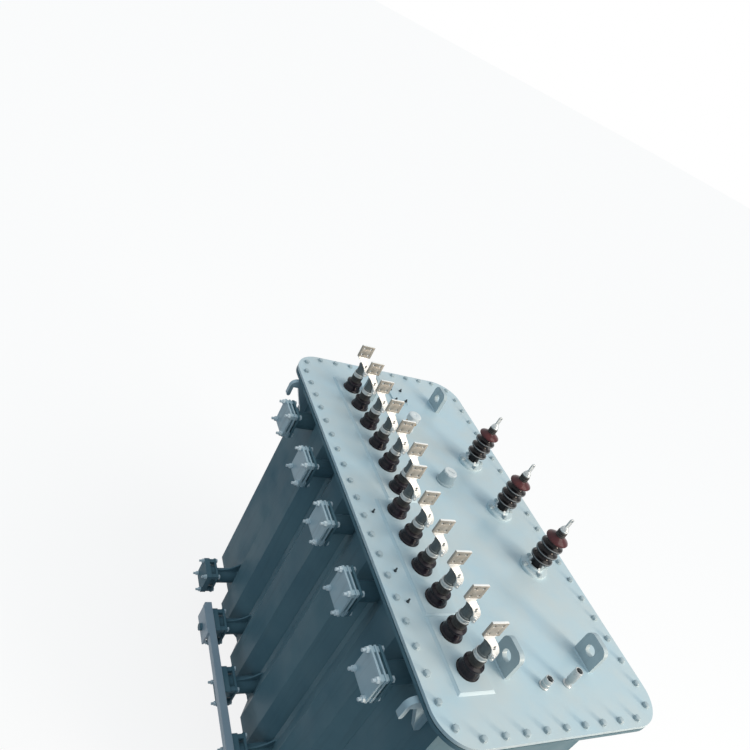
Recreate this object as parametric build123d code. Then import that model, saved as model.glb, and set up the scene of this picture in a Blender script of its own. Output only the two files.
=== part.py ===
from build123d import *
import os

os.makedirs("parts", exist_ok=True)

# An oil-filled power transformer, upright on its two skids, without its radiators.
# All lengths are millimetres. +Z is up, Z = 0 is the ground under the skids, +X is the
# high-voltage side, -X the low-voltage side, and +Y runs along the tank to its far end.

# Tank shell
tank_length = 2494.0
tank_width = 1144.0
wall_thickness = 10.0
wall_height = 1982.0
bottom_thickness = 20.0
skid_height = 140.0
skid_width = 90.0
skid_web = 12.0
skid_setback = 97.0
skid_spacing = 700.0
cross_width = 100.0
cross_setback = 150.0

# Bolted rim, gasket and cover
cover_end_overhang = 165.0
cover_side_overhang = 143.0
cover_corner_radius = 200.0
cover_thickness = 20.0
gasket_thickness = 8.0
gasket_inset = 12.0
gasket_joint = 0.5
rim_thickness = 20.0

# Folded stiffening ribs on the walls
rib_depth = 73.0
rib_flank_width = 115.0
rib_gap = 40.0
rib_plate = 8.0
rib_end_gap = 4.0
rib_weld_lap = 1.0

# Radiator pipes with their valves and blank plates, five in each row
pipe_rows = 5
pipe_end_setback = 327.0
pipe_outer_radius = 57.0
pipe_bore_radius = 51.0
pipe_clearance = 0.3
upper_pipe_drop = 221.0
lower_pipe_rise = 176.0
pipe_stub_length = 192.0
flange_size = 185.0
flange_thickness = 14.0
flange_corner = 6.0
valve_plate = 10.0
upper_valve_length = 40.0
lower_valve_length = 65.0
lower_valve_plate = 28.0
valve_body_radius = 72.0
valve_boss = 30.0
blank_thickness = 12.0
stud_pitch = 152.0
stud_hole_radius = 9.0
plug_radius = 26.0
plug_neck_radius = 20.0
plug_neck_length = 22.0
plug_head_length = 38.0

# Web on top of each lower pipe
web_thickness = 10.0
web_rise = 81.0
web_setback = 12.0
web_tip_height = 8.0

# Tie bar across the lower blank plates on the low-voltage side
tie_bar_depth = 50.0
tie_bar_height = 50.0
tie_bar_rise = 73.0
tie_bar_overhang = 140.0
tie_bar_bays = 3
clamp_plate_thickness = 12.0
clamp_plate_length = 230.0
clamp_plate_drop = 40.0
clamp_plate_clearance = 1.0
clamp_nut_length = 20.0

# Lifting hooks on the long walls, near the tank corners
hook_setback = 103.0
hook_thickness = 33.0
hook_drop = 56.0
hook_arm_height = 50.0
hook_reach = 191.0
hook_tip_width = 26.0
hook_tip_drop = 182.0
hook_leg_drop = 305.0
hook_leg_top_width = 128.0
hook_leg_foot_width = 32.0

# Lifting lugs on the cover
lug_thickness = 30.0
lug_width = 146.0
lug_height = 162.0
lug_corner = 42.0
lug_hole_radius = 30.0
lug_hole_height = 84.0
lug_far_setback = 362.0
lug_near_setback = 368.0
lug_left_setback = 501.0
lug_right_setback = 341.0

# Low-voltage bushings in two staggered rows of six
lv_count = 6
lv_pitch = 194.5
lv_middle = 7.0
lv_far_row_setback = 369.0
lv_near_row_setback = 282.0
lv_pad_thickness = 12.0
lv_pad_width = 198.0
lv_pad_margin = 106.0
lv_pad_gap = 20.0
lv_pad_corner = 14.0
lv_near_first_pad_count = 4
lv_foot_radius = 61.0
lv_foot_height = 10.0
lv_skirt_radius = 57.0
lv_waist_radius = 48.0
lv_waist_height = 46.0
lv_shoulder_radius = 55.0
lv_shoulder_bottom = 50.0
lv_shoulder_top = 62.0
lv_neck_radius = 36.0
lv_neck_bottom = 70.0
lv_porcelain_height = 88.0
lv_collar_radius = 33.0
lv_collar_height = 26.0
lv_nut_radius = 37.0
lv_nut_height = 27.0
lv_barrel_radius = 33.0
lv_barrel_height = 82.0
lv_neck_thickness = 26.0
lv_neck_rise = 47.0
palm_width = 98.0
palm_height = 92.0
palm_thickness = 12.0
palm_shift_far_row = 34.0
palm_shift_near_row = 44.0
palm_hole_radius = 7.0
palm_hole_pitch = 50.0
neck_lap = 8.0

# High-voltage bushings
hv_count = 3
hv_pitch = 447.0
hv_setback = 305.0
hv_flange_radius = 88.0
hv_flange_height = 20.0
hv_neck_radius = 38.0
hv_neck_height = 80.0
hv_shed_radius = 69.0
hv_shed_count = 4
hv_shed_pitch = 54.0
hv_shed_edge = 9.0
hv_shed_fall = 26.0
hv_core_radius = 42.0
hv_porcelain_height = 267.0
hv_collar_radius = 30.0
hv_collar_height = 44.0
hv_nut_radius = 27.0
hv_nut_height = 33.0
hv_bar_width = 26.0
hv_bar_thickness = 10.0
hv_bar_height = 60.0
hv_bar_hole_radius = 6.0

# Small fittings on the cover
vent_x = -8.0
vent_y = 722.0
vent_foot_radius = 44.0
vent_foot_height = 14.0
vent_body_radius = 35.0
vent_ring_radius = 40.0
vent_ring_bottom = 60.0
vent_cap_radius = 47.5
vent_cap_bottom = 84.0
vent_height = 130.0
relief_x = 77.0
relief_y = 227.0
relief_base_radius = 62.0
relief_base_height = 12.0
relief_body_low_radius = 54.0
relief_body_high_radius = 46.0
relief_body_top = 76.0
relief_cap_radius = 46.0
relief_cap_sides = 8
relief_height = 88.0
nipple_setback = 249.0
short_nipple_x = -2.0
short_nipple_radius = 22.0
short_nipple_height = 60.0
tall_nipple_x = 162.0
tall_nipple_radius = 22.0
tall_nipple_height = 112.0
nipple_bore_radius = 12.0
nipple_bore_depth = 40.0
pocket_x = 63.0
pocket_setback = 314.0
pocket_width = 124.0
pocket_length = 162.0
pocket_height = 10.0

# How far every cutting shape runs past the face that it opens
cut_over = 1.0

# Levels and planes that follow from the sizes above
half_length = tank_length / 2
half_width = tank_width / 2
inner_half = half_width - wall_thickness
cover_length = tank_length + 2 * cover_end_overhang
cover_width = tank_width + 2 * cover_side_overhang
cover_end = cover_length / 2
cover_side = cover_width / 2
skid_length = tank_length - 2 * skid_setback
flange_face_reach = half_width + pipe_stub_length
bottom_top = skid_height + bottom_thickness
wall_top = bottom_top + wall_height
rim_top = wall_top + rim_thickness
cover_bottom = rim_top + gasket_thickness
cover_top = cover_bottom + cover_thickness
upper_axis = cover_top - upper_pipe_drop
lower_axis = skid_height + lower_pipe_rise
pipe_pitch = (tank_length - 2 * pipe_end_setback) / (pipe_rows - 1)
pipe_ys = [(k - (pipe_rows - 1) / 2) * pipe_pitch for k in range(pipe_rows)]
rib_ys = [(a + b) / 2 for a, b in zip(pipe_ys[:-1], pipe_ys[1:])]
lower_blank_face = flange_face_reach + lower_valve_length + blank_thickness
hook_line = half_length - hook_setback


def save(shape, node):
    """Write one sub-part, named after its node."""
    shape.label = node
    export_step(shape, os.path.join("parts", node + ".step"))


def block(x0, x1, y0, y1, z0, z1):
    """Box between two opposite corners."""
    size = Box(x1 - x0, y1 - y0, z1 - z0)
    return Pos((x0 + x1) / 2, (y0 + y1) / 2, (z0 + z1) / 2) * size


def upright_cylinder(radius, x, y, z0, z1):
    """Cylinder along Z between two levels."""
    return Pos(x, y, (z0 + z1) / 2) * Cylinder(radius, z1 - z0)


def side_cylinder(radius, x0, x1, y, z):
    """Cylinder along X between two planes."""
    return Pos((x0 + x1) / 2, y, z) * Rot(0, 90, 0) * Cylinder(radius, abs(x1 - x0))


def turned(points, x, y, z):
    """Solid turned about a vertical axis from (radius, height) points."""
    outline = Polyline(*[(r, h) for r, h in points], close=True)
    face = make_face(Plane.XZ * outline)
    return Pos(x, y, z) * revolve(face, Axis.Z)


def to_right(shape):
    """The like piece on the high-voltage side."""
    return mirror(shape, about=Plane.YZ)


def group(shapes):
    """Like pieces of one node, kept as separate solids."""
    solids = [solid for shape in shapes for solid in shape.solids()]
    return Compound(children=solids)


# Skids: two channels on edge, webs outward
def skid(side):
    outer = side * (skid_spacing + skid_width) / 2
    inner = side * (skid_spacing - skid_width) / 2
    x0, x1 = sorted((outer, inner))
    body = block(x0, x1, -skid_length / 2, skid_length / 2, 0, skid_height)
    pocket = block(x0, x1, -skid_length / 2, skid_length / 2, skid_web, skid_height - skid_web)
    return body - Pos(-side * skid_web, 0, 0) * pocket


save(skid(-1), "skid_left")
save(skid(1), "skid_right")

cross_half = (skid_spacing - skid_width) / 2
crosses = []
cross_reach = skid_length / 2 - cross_setback
for y in (-cross_reach, 0, cross_reach):
    crosses.append(block(-cross_half, cross_half, y - cross_width / 2, y + cross_width / 2, 0, skid_height))
save(group(crosses), "skid_crosses")

# Tank shell: bottom plate and four walls
save(block(-half_width, half_width, -half_length, half_length, skid_height, bottom_top), "tank_bottom")

left_wall = block(-half_width, -inner_half, -half_length, half_length, bottom_top, wall_top)
for y in pipe_ys:
    for z in (upper_axis, lower_axis):
        hole = pipe_outer_radius + pipe_clearance
        left_wall -= side_cylinder(hole, -half_width - cut_over, -inner_half + cut_over, y, z)
save(left_wall, "tank_left_wall")
save(to_right(left_wall), "tank_right_wall")

far_wall = block(-inner_half, inner_half, half_length - wall_thickness, half_length, bottom_top, wall_top)
save(far_wall, "tank_far_wall")
save(mirror(far_wall, about=Plane.XZ), "tank_near_wall")


# Rim, gasket and cover share one rounded outline
def rounded_plate(inset, z0, z1):
    outline = RectangleRounded(
        cover_width - 2 * inset, cover_length - 2 * inset, cover_corner_radius - inset
    )
    return extrude(Pos(0, 0, z0) * outline, z1 - z0)


rim_opening_x = inner_half
rim_opening_y = half_length - wall_thickness
far_away = cover_length
rim_plate = rounded_plate(0, wall_top, rim_top)
rim_left = rim_plate & block(-far_away, -rim_opening_x, -far_away, far_away, wall_top, rim_top)
rim_far = rim_plate & block(-rim_opening_x, rim_opening_x, rim_opening_y, far_away, wall_top, rim_top)
save(rim_left, "rim_left")
save(to_right(rim_left), "rim_right")
save(rim_far, "rim_far")
save(mirror(rim_far, about=Plane.XZ), "rim_near")

gasket_plate = rounded_plate(gasket_inset, rim_top, cover_bottom)
gasket_left = gasket_plate & block(
    -far_away, -rim_opening_x - gasket_joint, -far_away, far_away, rim_top, cover_bottom
)
gasket_far = gasket_plate & block(
    -rim_opening_x, rim_opening_x, rim_opening_y, far_away, rim_top, cover_bottom
)
gasket_near = mirror(gasket_far, about=Plane.XZ)
save(group([gasket_left, to_right(gasket_left), gasket_far, gasket_near]), "cover_gasket")
save(rounded_plate(0, cover_bottom, cover_top), "cover")


# Ribs: folded plates with closed ends, notched around the pipes
def rib_shell(base_low, nose_low, nose_high, base_high):
    """Rib standing out along -X from the left wall, given by its fold lines along Y."""
    z0 = skid_height
    z1 = wall_top - rib_end_gap
    outer = Polyline(
        (-half_width, base_low),
        (-half_width - rib_depth, nose_low),
        (-half_width - rib_depth, nose_high),
        (-half_width, base_high),
        close=True,
    )
    inner = Polyline(
        (-half_width + rib_weld_lap, base_low + 2 * rib_plate),
        (-half_width - rib_depth + rib_plate, nose_low + rib_plate / 2),
        (-half_width - rib_depth + rib_plate, nose_high - rib_plate / 2),
        (-half_width + rib_weld_lap, base_high - 2 * rib_plate),
        close=True,
    )
    solid = extrude(Pos(0, 0, z0) * make_face(outer), z1 - z0)
    hollow = extrude(Pos(0, 0, z0 + rib_plate) * make_face(inner), z1 - z0 - 2 * rib_plate)
    return solid - hollow


def notch_for_pipes(rib):
    for y in pipe_ys:
        for z in (upper_axis, lower_axis):
            reach = half_width + rib_depth + cut_over
            rib -= side_cylinder(pipe_outer_radius + pipe_clearance, -reach, -half_width, y, z)
    return rib


half_base = (pipe_pitch - rib_gap) / 2
half_nose = half_base - rib_flank_width
left_ribs = []
for y in rib_ys:
    rib = rib_shell(y - half_base, y - half_nose, y + half_nose, y + half_base)
    left_ribs.append(notch_for_pipes(rib))
save(group(left_ribs), "left_ribs")
save(group([to_right(rib) for rib in left_ribs]), "right_ribs")

side_rib = rib_shell(-half_base, -half_nose, half_nose, half_base)
near_rib = Pos(0, half_width - half_length, 0) * side_rib.rotate(Axis.Z, 90)
save(group([near_rib, mirror(near_rib, about=Plane.XZ)]), "end_ribs")


# Radiator pipes: tube and square flange in one piece
def square_plate(x0, x1, y, z):
    """Square plate across X with rounded corners, drilled for four studs."""
    outline = RectangleRounded(flange_size, flange_size, flange_corner)
    for dy in (-stud_pitch / 2, stud_pitch / 2):
        for dz in (-stud_pitch / 2, stud_pitch / 2):
            outline -= Pos(dy, dz) * Circle(stud_hole_radius)
    plane = Plane(origin=(x0, y, z), x_dir=(0, 1, 0), z_dir=(1, 0, 0))
    return extrude(plane * outline, x1 - x0)


def pipe(y, z):
    tube = side_cylinder(pipe_outer_radius, -flange_face_reach, -inner_half, y, z)
    tube += square_plate(-flange_face_reach, -flange_face_reach + flange_thickness, y, z)
    return tube - side_cylinder(pipe_bore_radius, -flange_face_reach - cut_over, -inner_half + cut_over, y, z)


def valve(y, z, length, plate_start, plate_end):
    """Round body with a square plate between two planes and four bosses for the studs."""
    outer_end = flange_face_reach + length
    body = square_plate(-plate_end, -plate_start, y, z)
    body += side_cylinder(valve_body_radius, -outer_end, -flange_face_reach, y, z)
    reach = flange_size / 2 - flange_corner
    for side in (-1, 1):
        for up in (-1, 1):
            y0, y1 = sorted((y + side * reach, y + side * (reach - valve_boss)))
            z0, z1 = sorted((z + up * reach, z + up * (reach - valve_boss)))
            body += block(-outer_end, -flange_face_reach, y0, y1, z0, z1)
            stud_y = y + side * stud_pitch / 2
            stud_z = z + up * stud_pitch / 2
            start = -outer_end - cut_over
            end = -flange_face_reach + cut_over
            body -= side_cylinder(stud_hole_radius, start, end, stud_y, stud_z)
    return body


def blank(y, z, length):
    face = flange_face_reach + length
    return square_plate(-face - blank_thickness, -face, y, z)


def plug(neck_length, head_length):
    """Plug in the middle of the fourth lower blank plate, with a round neck and head."""
    neck_end = lower_blank_face + neck_length
    body = side_cylinder(plug_neck_radius, -neck_end, -lower_blank_face, pipe_ys[-2], lower_axis)
    return body + side_cylinder(plug_radius, -neck_end - head_length, -neck_end, pipe_ys[-2], lower_axis)


upper_plate_start = flange_face_reach + (upper_valve_length - valve_plate) / 2
lower_plate_end = flange_face_reach + lower_valve_length
for level, z, length, plate_start, plate_end in (
    ("upper", upper_axis, upper_valve_length, upper_plate_start, upper_plate_start + valve_plate),
    ("lower", lower_axis, lower_valve_length, lower_plate_end - lower_valve_plate, lower_plate_end),
):
    pipes = [pipe(y, z) for y in pipe_ys]
    valves = [valve(y, z, length, plate_start, plate_end) for y in pipe_ys]
    blanks = [blank(y, z, length) for y in pipe_ys]
    right_blanks = list(blanks)
    if level == "lower":
        blanks[-2] += plug(tie_bar_depth + clamp_plate_thickness, clamp_nut_length)
        right_blanks[-2] += plug(plug_neck_length, plug_head_length)
    for name, left, right in (
        ("pipes", pipes, pipes),
        ("valves", valves, valves),
        ("blanks", blanks, right_blanks),
    ):
        save(group(left), "left_" + level + "_" + name)
        save(group([to_right(piece) for piece in right]), "right_" + level + "_" + name)


# Curved webs over the lower pipes
def web(y):
    flange_back = flange_face_reach - flange_thickness
    low = lower_axis + pipe_outer_radius
    foot = (-flange_back + web_setback, low)
    tip = (-flange_back + web_setback, low + web_tip_height)
    corner = (-half_width, low)
    top = (-half_width, low + web_rise)
    edge = TangentArc(tip, top, tangent=(1, 0))
    outline = edge + Polyline(top, corner, foot, tip)
    face = make_face(Plane.XZ * outline)
    return Pos(0, y, 0) * extrude(face, web_thickness / 2, both=True)


webs = [web(y) for y in pipe_ys]
save(group(webs + [to_right(piece) for piece in webs]), "pipe_webs")

# Tie bar over four lower blank plates, with a clamp plate that the last plug passes through
bar_low = lower_axis + tie_bar_rise - tie_bar_height / 2
bar_outer = lower_blank_face + tie_bar_depth
tie_bar = block(
    -bar_outer, -lower_blank_face,
    pipe_ys[0] - tie_bar_overhang, pipe_ys[tie_bar_bays] + tie_bar_overhang,
    bar_low, bar_low + tie_bar_height,
)
tie_bar += block(
    -bar_outer - clamp_plate_thickness, -bar_outer,
    pipe_ys[tie_bar_bays] - clamp_plate_length / 2, pipe_ys[tie_bar_bays] + clamp_plate_length / 2,
    lower_axis - clamp_plate_drop, bar_low + tie_bar_height,
)
tie_bar -= side_cylinder(
    plug_neck_radius + clamp_plate_clearance,
    -bar_outer - clamp_plate_thickness - cut_over, -lower_blank_face,
    pipe_ys[tie_bar_bays], lower_axis,
)
save(tie_bar, "tie_bar")


# Lifting hooks: thick plates on edge, an arm that curves down and a leg along the wall
def hook(y):
    top = cover_top - hook_drop
    arm_bottom = top - hook_arm_height
    outer_x = -half_width - hook_reach
    bend_x = outer_x + hook_arm_height
    tip_x = outer_x + hook_tip_width / 2
    tip_z = cover_top - hook_tip_drop + hook_tip_width / 2
    quarter = Pos(bend_x, arm_bottom) * Rectangle(
        hook_arm_height, hook_arm_height, align=(Align.MAX, Align.MIN)
    )
    outline = quarter & Pos(bend_x, arm_bottom) * Circle(hook_arm_height)
    outline += Pos(bend_x, arm_bottom) * Rectangle(
        -half_width - bend_x, hook_arm_height, align=(Align.MIN, Align.MIN)
    )
    outline += Pos(tip_x, tip_z) * Rectangle(
        hook_tip_width, arm_bottom - tip_z, align=(Align.CENTER, Align.MIN)
    )
    outline += Pos(tip_x, tip_z) * Circle(hook_tip_width / 2)
    foot_z = cover_top - hook_leg_drop
    leg = Polyline(
        (-half_width, arm_bottom),
        (-half_width - hook_leg_top_width, arm_bottom),
        (-half_width - hook_leg_foot_width, foot_z),
        (-half_width, foot_z),
        close=True,
    )
    outline += make_face(leg)
    return Pos(0, y, 0) * extrude(Plane.XZ * outline, hook_thickness / 2, both=True)


hooks = [hook(hook_line), hook(-hook_line)]
save(group(hooks + [to_right(piece) for piece in hooks]), "lifting_hooks")


# Lifting lugs: upright plates with rounded shoulders and an eye
def lug(x, y):
    outline = Pos(0, lug_height / 2) * RectangleRounded(lug_width, lug_height, lug_corner)
    outline += Pos(0, lug_corner) * Rectangle(lug_width, 2 * lug_corner)
    outline -= Pos(0, lug_hole_height) * Circle(lug_hole_radius)
    plane = Plane(origin=(x - lug_thickness / 2, y, cover_top), x_dir=(0, 1, 0), z_dir=(1, 0, 0))
    return extrude(plane * outline, lug_thickness)


lug_xs = (lug_left_setback - cover_side, cover_side - lug_right_setback)
lug_ys = (lug_near_setback - cover_end, cover_end - lug_far_setback)
lugs = [lug(x, y) for x in lug_xs for y in lug_ys]
save(group(lugs), "lifting_lugs")

# Low-voltage bushings
lv_far_line = lv_far_row_setback - cover_side
lv_near_line = lv_near_row_setback - cover_side
lv_ys = [lv_pitch * (k + 0.5) for k in range(lv_count)]
pad_top = cover_top + lv_pad_thickness
collar_bottom = pad_top + lv_porcelain_height
nut_bottom = collar_bottom + lv_collar_height
barrel_bottom = nut_bottom + lv_nut_height
barrel_top = barrel_bottom + lv_barrel_height
palm_bottom = barrel_top + lv_neck_rise


def lv_pad(x, y0, y1):
    outline = RectangleRounded(lv_pad_width, y1 - y0, lv_pad_corner)
    return extrude(Pos(x, (y0 + y1) / 2, cover_top) * outline, lv_pad_thickness)


def lv_porcelain(x, y):
    """Glazed foot ring, tapered skirt, shoulder ring and short neck."""
    profile = (
        (0, 0),
        (lv_foot_radius, 0),
        (lv_foot_radius, lv_foot_height),
        (lv_skirt_radius, lv_foot_height),
        (lv_waist_radius, lv_waist_height),
        (lv_shoulder_radius, lv_shoulder_bottom),
        (lv_shoulder_radius, lv_shoulder_top),
        (lv_neck_radius, lv_neck_bottom),
        (lv_neck_radius, lv_porcelain_height),
        (0, lv_porcelain_height),
    )
    return turned(profile, x, y, pad_top)


def lv_terminal(x, y, shift):
    """Ring nut, round barrel, bent neck and upright palm with four holes."""
    piece = upright_cylinder(lv_nut_radius, x, y, nut_bottom, barrel_bottom)
    piece += upright_cylinder(lv_barrel_radius, x, y, barrel_bottom, barrel_top)
    palm_x = x - shift
    neck_outline = Polyline(
        (x + lv_barrel_radius / 2, barrel_top - neck_lap),
        (x - lv_barrel_radius, barrel_top - neck_lap),
        (palm_x - palm_width / 4, palm_bottom + neck_lap),
        (palm_x + palm_width / 2, palm_bottom + neck_lap),
        close=True,
    )
    neck = extrude(make_face(Plane.XZ * neck_outline), lv_neck_thickness / 2, both=True)
    piece += Pos(0, y, 0) * neck
    palm = block(
        palm_x - palm_width / 2, palm_x + palm_width / 2,
        y - palm_thickness / 2, y + palm_thickness / 2,
        palm_bottom, palm_bottom + palm_height,
    )
    for dx in (-palm_hole_pitch / 2, palm_hole_pitch / 2):
        for dz in (-palm_hole_pitch / 2, palm_hole_pitch / 2):
            drill = Rot(90, 0, 0) * Cylinder(palm_hole_radius, 2 * palm_thickness)
            palm -= Pos(palm_x + dx, y, palm_bottom + palm_height / 2 + dz) * drill
    return piece + palm


lv_rows = (
    ("far", 1, lv_far_line, palm_shift_far_row),
    ("near", -1, lv_near_line, palm_shift_near_row),
)
collars = []
for name, side, x, shift in lv_rows:
    row_ys = [lv_middle + side * y for y in lv_ys]
    collars += [upright_cylinder(lv_collar_radius, x, y, collar_bottom, nut_bottom) for y in row_ys]
    save(group([lv_porcelain(x, y) for y in row_ys]), "lv_bushings_" + name)
    save(group([lv_terminal(x, y, shift) for y in row_ys]), "lv_terminals_" + name)
save(group(collars), "lv_collars")
half_gap = lv_pad_gap / 2
pad_reach = lv_ys[-1] + lv_pad_margin
pad_split = lv_near_first_pad_count * lv_pitch
pads = [
    lv_pad(lv_far_line, lv_middle + half_gap, lv_middle + pad_reach),
    lv_pad(lv_near_line, lv_middle - pad_split + half_gap, lv_middle - half_gap),
    lv_pad(lv_near_line, lv_middle - pad_reach, lv_middle - pad_split - half_gap),
]
save(group(pads), "lv_pads")

# High-voltage bushings
hv_line = cover_side - hv_setback
hv_ys = [(k - (hv_count - 1) / 2) * hv_pitch for k in range(hv_count)]
hv_porcelain_bottom = cover_top + hv_flange_height
hv_collar_bottom = hv_porcelain_bottom + hv_porcelain_height
hv_nut_bottom = hv_collar_bottom + hv_collar_height
hv_bar_bottom = hv_nut_bottom + hv_nut_height


def hv_porcelain(y):
    """Plain neck, four falling sheds and a conical head under a round collar."""
    profile = [(0, 0), (hv_neck_radius, 0), (hv_neck_radius, hv_neck_height)]
    for k in range(hv_shed_count):
        low = hv_neck_height + k * hv_shed_pitch
        if k > 0:
            profile.append((hv_core_radius, low))
        profile.append((hv_shed_radius, low))
        profile.append((hv_shed_radius, low + hv_shed_edge))
        if k < hv_shed_count - 1:
            profile.append((hv_core_radius, low + hv_shed_edge + hv_shed_fall))
    profile.append((hv_collar_radius, hv_porcelain_height))
    profile.append((hv_collar_radius, hv_porcelain_height + hv_collar_height))
    profile.append((0, hv_porcelain_height + hv_collar_height))
    return turned(profile, hv_line, y, hv_porcelain_bottom)


def hv_terminal(y):
    """Cap nut with an upright flat bar, drilled at its round end."""
    eye_z = hv_bar_bottom + hv_bar_height - hv_bar_width / 2
    bar = block(
        hv_line - hv_bar_width / 2, hv_line + hv_bar_width / 2,
        y - hv_bar_thickness / 2, y + hv_bar_thickness / 2,
        hv_bar_bottom, eye_z,
    )
    bar += Pos(hv_line, y, eye_z) * Rot(90, 0, 0) * Cylinder(hv_bar_width / 2, hv_bar_thickness)
    bar -= Pos(hv_line, y, eye_z) * Rot(90, 0, 0) * Cylinder(hv_bar_hole_radius, 2 * hv_bar_thickness)
    return bar + upright_cylinder(hv_nut_radius, hv_line, y, hv_nut_bottom, hv_bar_bottom)


flanges = [upright_cylinder(hv_flange_radius, hv_line, y, cover_top, hv_porcelain_bottom) for y in hv_ys]
save(group(flanges), "hv_flanges")
save(group([hv_porcelain(y) for y in hv_ys]), "hv_bushings")
save(group([hv_terminal(y) for y in hv_ys]), "hv_terminals")

# Vent cap: foot, pipe, brass ring and round hood
vent_profile = (
    (0, 0),
    (vent_foot_radius, 0),
    (vent_foot_radius, vent_foot_height),
    (vent_body_radius, vent_foot_height),
    (vent_body_radius, vent_ring_bottom),
    (vent_ring_radius, vent_ring_bottom),
    (vent_ring_radius, vent_cap_bottom),
    (vent_cap_radius, vent_cap_bottom),
    (vent_cap_radius, vent_height),
    (0, vent_height),
)
save(turned(vent_profile, vent_x, vent_y, cover_top), "vent_cap")

# Relief cap: base ring, tapered body and eight-sided head
relief_profile = (
    (0, 0),
    (relief_base_radius, 0),
    (relief_base_radius, relief_base_height),
    (relief_body_low_radius, relief_base_height),
    (relief_body_high_radius, relief_body_top),
    (0, relief_body_top),
)
relief = turned(relief_profile, relief_x, relief_y, cover_top)
relief_head = RegularPolygon(relief_cap_radius, relief_cap_sides)
relief += extrude(
    Pos(relief_x, relief_y, cover_top + relief_body_top) * relief_head, relief_height - relief_body_top
)
save(relief, "relief_cap")


# Nipples near the near end of the cover, and the small blanked pocket
nipple_y = nipple_setback - cover_end
pocket_y = cover_end - pocket_setback


def nipple(x, radius, height):
    body = upright_cylinder(radius, x, nipple_y, cover_top, cover_top + height)
    top = cover_top + height
    return body - upright_cylinder(nipple_bore_radius, x, nipple_y, top - nipple_bore_depth, top + cut_over)


short_nipple = nipple(short_nipple_x, short_nipple_radius, short_nipple_height)
tall_nipple = nipple(tall_nipple_x, tall_nipple_radius, tall_nipple_height)
save(group([short_nipple, tall_nipple]), "cover_nipples")
save(
    block(
        pocket_x - pocket_width / 2, pocket_x + pocket_width / 2,
        pocket_y - pocket_length / 2, pocket_y + pocket_length / 2,
        cover_top, cover_top + pocket_height,
    ),
    "pocket_plate",
)
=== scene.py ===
"""Visual model of an oil-filled power transformer: finishes, fasteners, bushings, camera and light.

Sizes are millimetres in the classes and metres in the meshes. The origin is on the ground under
the middle of the tank, +Z is up, +X is the high-voltage side and +Y runs to the far end.
"""

import logging
import math
from collections.abc import Callable, Sequence
from dataclasses import dataclass
from enum import Enum
from itertools import product

import bpy
from mathutils import Matrix, Vector

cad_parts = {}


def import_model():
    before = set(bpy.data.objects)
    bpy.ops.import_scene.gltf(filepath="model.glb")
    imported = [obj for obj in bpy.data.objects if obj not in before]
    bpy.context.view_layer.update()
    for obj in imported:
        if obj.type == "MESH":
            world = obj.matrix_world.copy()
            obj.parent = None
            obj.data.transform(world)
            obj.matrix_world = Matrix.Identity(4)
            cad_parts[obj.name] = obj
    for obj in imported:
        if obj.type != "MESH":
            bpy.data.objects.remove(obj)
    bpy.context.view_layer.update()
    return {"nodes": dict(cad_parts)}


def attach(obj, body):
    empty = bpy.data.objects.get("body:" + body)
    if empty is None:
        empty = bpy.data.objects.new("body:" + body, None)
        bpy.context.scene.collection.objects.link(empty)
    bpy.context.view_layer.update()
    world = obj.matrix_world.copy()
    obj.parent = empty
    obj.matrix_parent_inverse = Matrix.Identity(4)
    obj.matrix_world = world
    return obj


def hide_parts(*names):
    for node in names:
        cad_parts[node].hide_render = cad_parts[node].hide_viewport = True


logger = logging.getLogger("power_transformer")

MM = 0.001
# levels, lines and pitches that several sub-assemblies share, in millimetres
COVER_TOP = 2190.0
UPPER_AXIS, LOWER_AXIS = 1969.0, 316.0
PIPE_PITCH = 460.0
PIPE_COUNT = 5
FLANGE_BACK = 750.0

Piece = bpy.types.Object
Socket = bpy.types.NodeSocket
Tree = bpy.types.NodeTree
Inputs = dict[str | int, object]
Spot = tuple[float, float]
Point = tuple[float, float, float]


class Slot(Enum):
    """Material slots of the plain model that new pieces belong to."""

    TANK = "tank_paint"
    COVER = "cover_paint"
    PORCELAIN = "brown_porcelain"
    RUBBER = "collar_rubber"
    TERMINAL = "tinned_terminal"
    STEEL = "steel_terminal"
    ZINC = "zinc_fitting"


class Row(Enum):
    """The two staggered rows of low-voltage bushings."""

    FAR = "far"
    NEAR = "near"


# Hand operations on meshes


def rest() -> None:
    """Leave edit mode and deselect everything."""
    if bpy.context.mode != "OBJECT":
        bpy.ops.object.mode_set(mode="OBJECT")
    bpy.ops.object.select_all(action="DESELECT")


def take(piece: Piece) -> None:
    """Make one piece the only selected and the active one.

    Args:
        piece: The piece to work on.
    """
    rest()
    piece.select_set(True)
    bpy.context.view_layer.objects.active = piece


def settle(piece: Piece) -> None:
    """Put a piece's place, turn and scale into its mesh."""
    take(piece)
    bpy.ops.object.transform_apply(location=True, rotation=True, scale=True)


def apply_modifier(piece: Piece, kind: str, **settings: object) -> None:
    """Add one modifier and apply it.

    Args:
        piece: The piece to change.
        kind: Blender's name for the modifier type.
        settings: The modifier's own settings.
    """
    take(piece)
    modifier = piece.modifiers.new(kind.title(), kind)
    for name, value in settings.items():
        setattr(modifier, name, value)
    bpy.ops.object.modifier_apply(modifier=modifier.name)


def round_edges(piece: Piece, width: float, segments: int = 2) -> None:
    """Round every sharp edge of a piece by a width in millimetres."""
    limit = {"limit_method": "ANGLE", "angle_limit": math.radians(30)}
    apply_modifier(piece, "BEVEL", width=width * MM, segments=segments, **limit)


def smooth(piece: Piece) -> None:
    """Shade a piece smooth, except where its faces meet at more than 32 degrees."""
    take(piece)
    bpy.ops.object.shade_smooth_by_angle(angle=math.radians(32))


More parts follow.
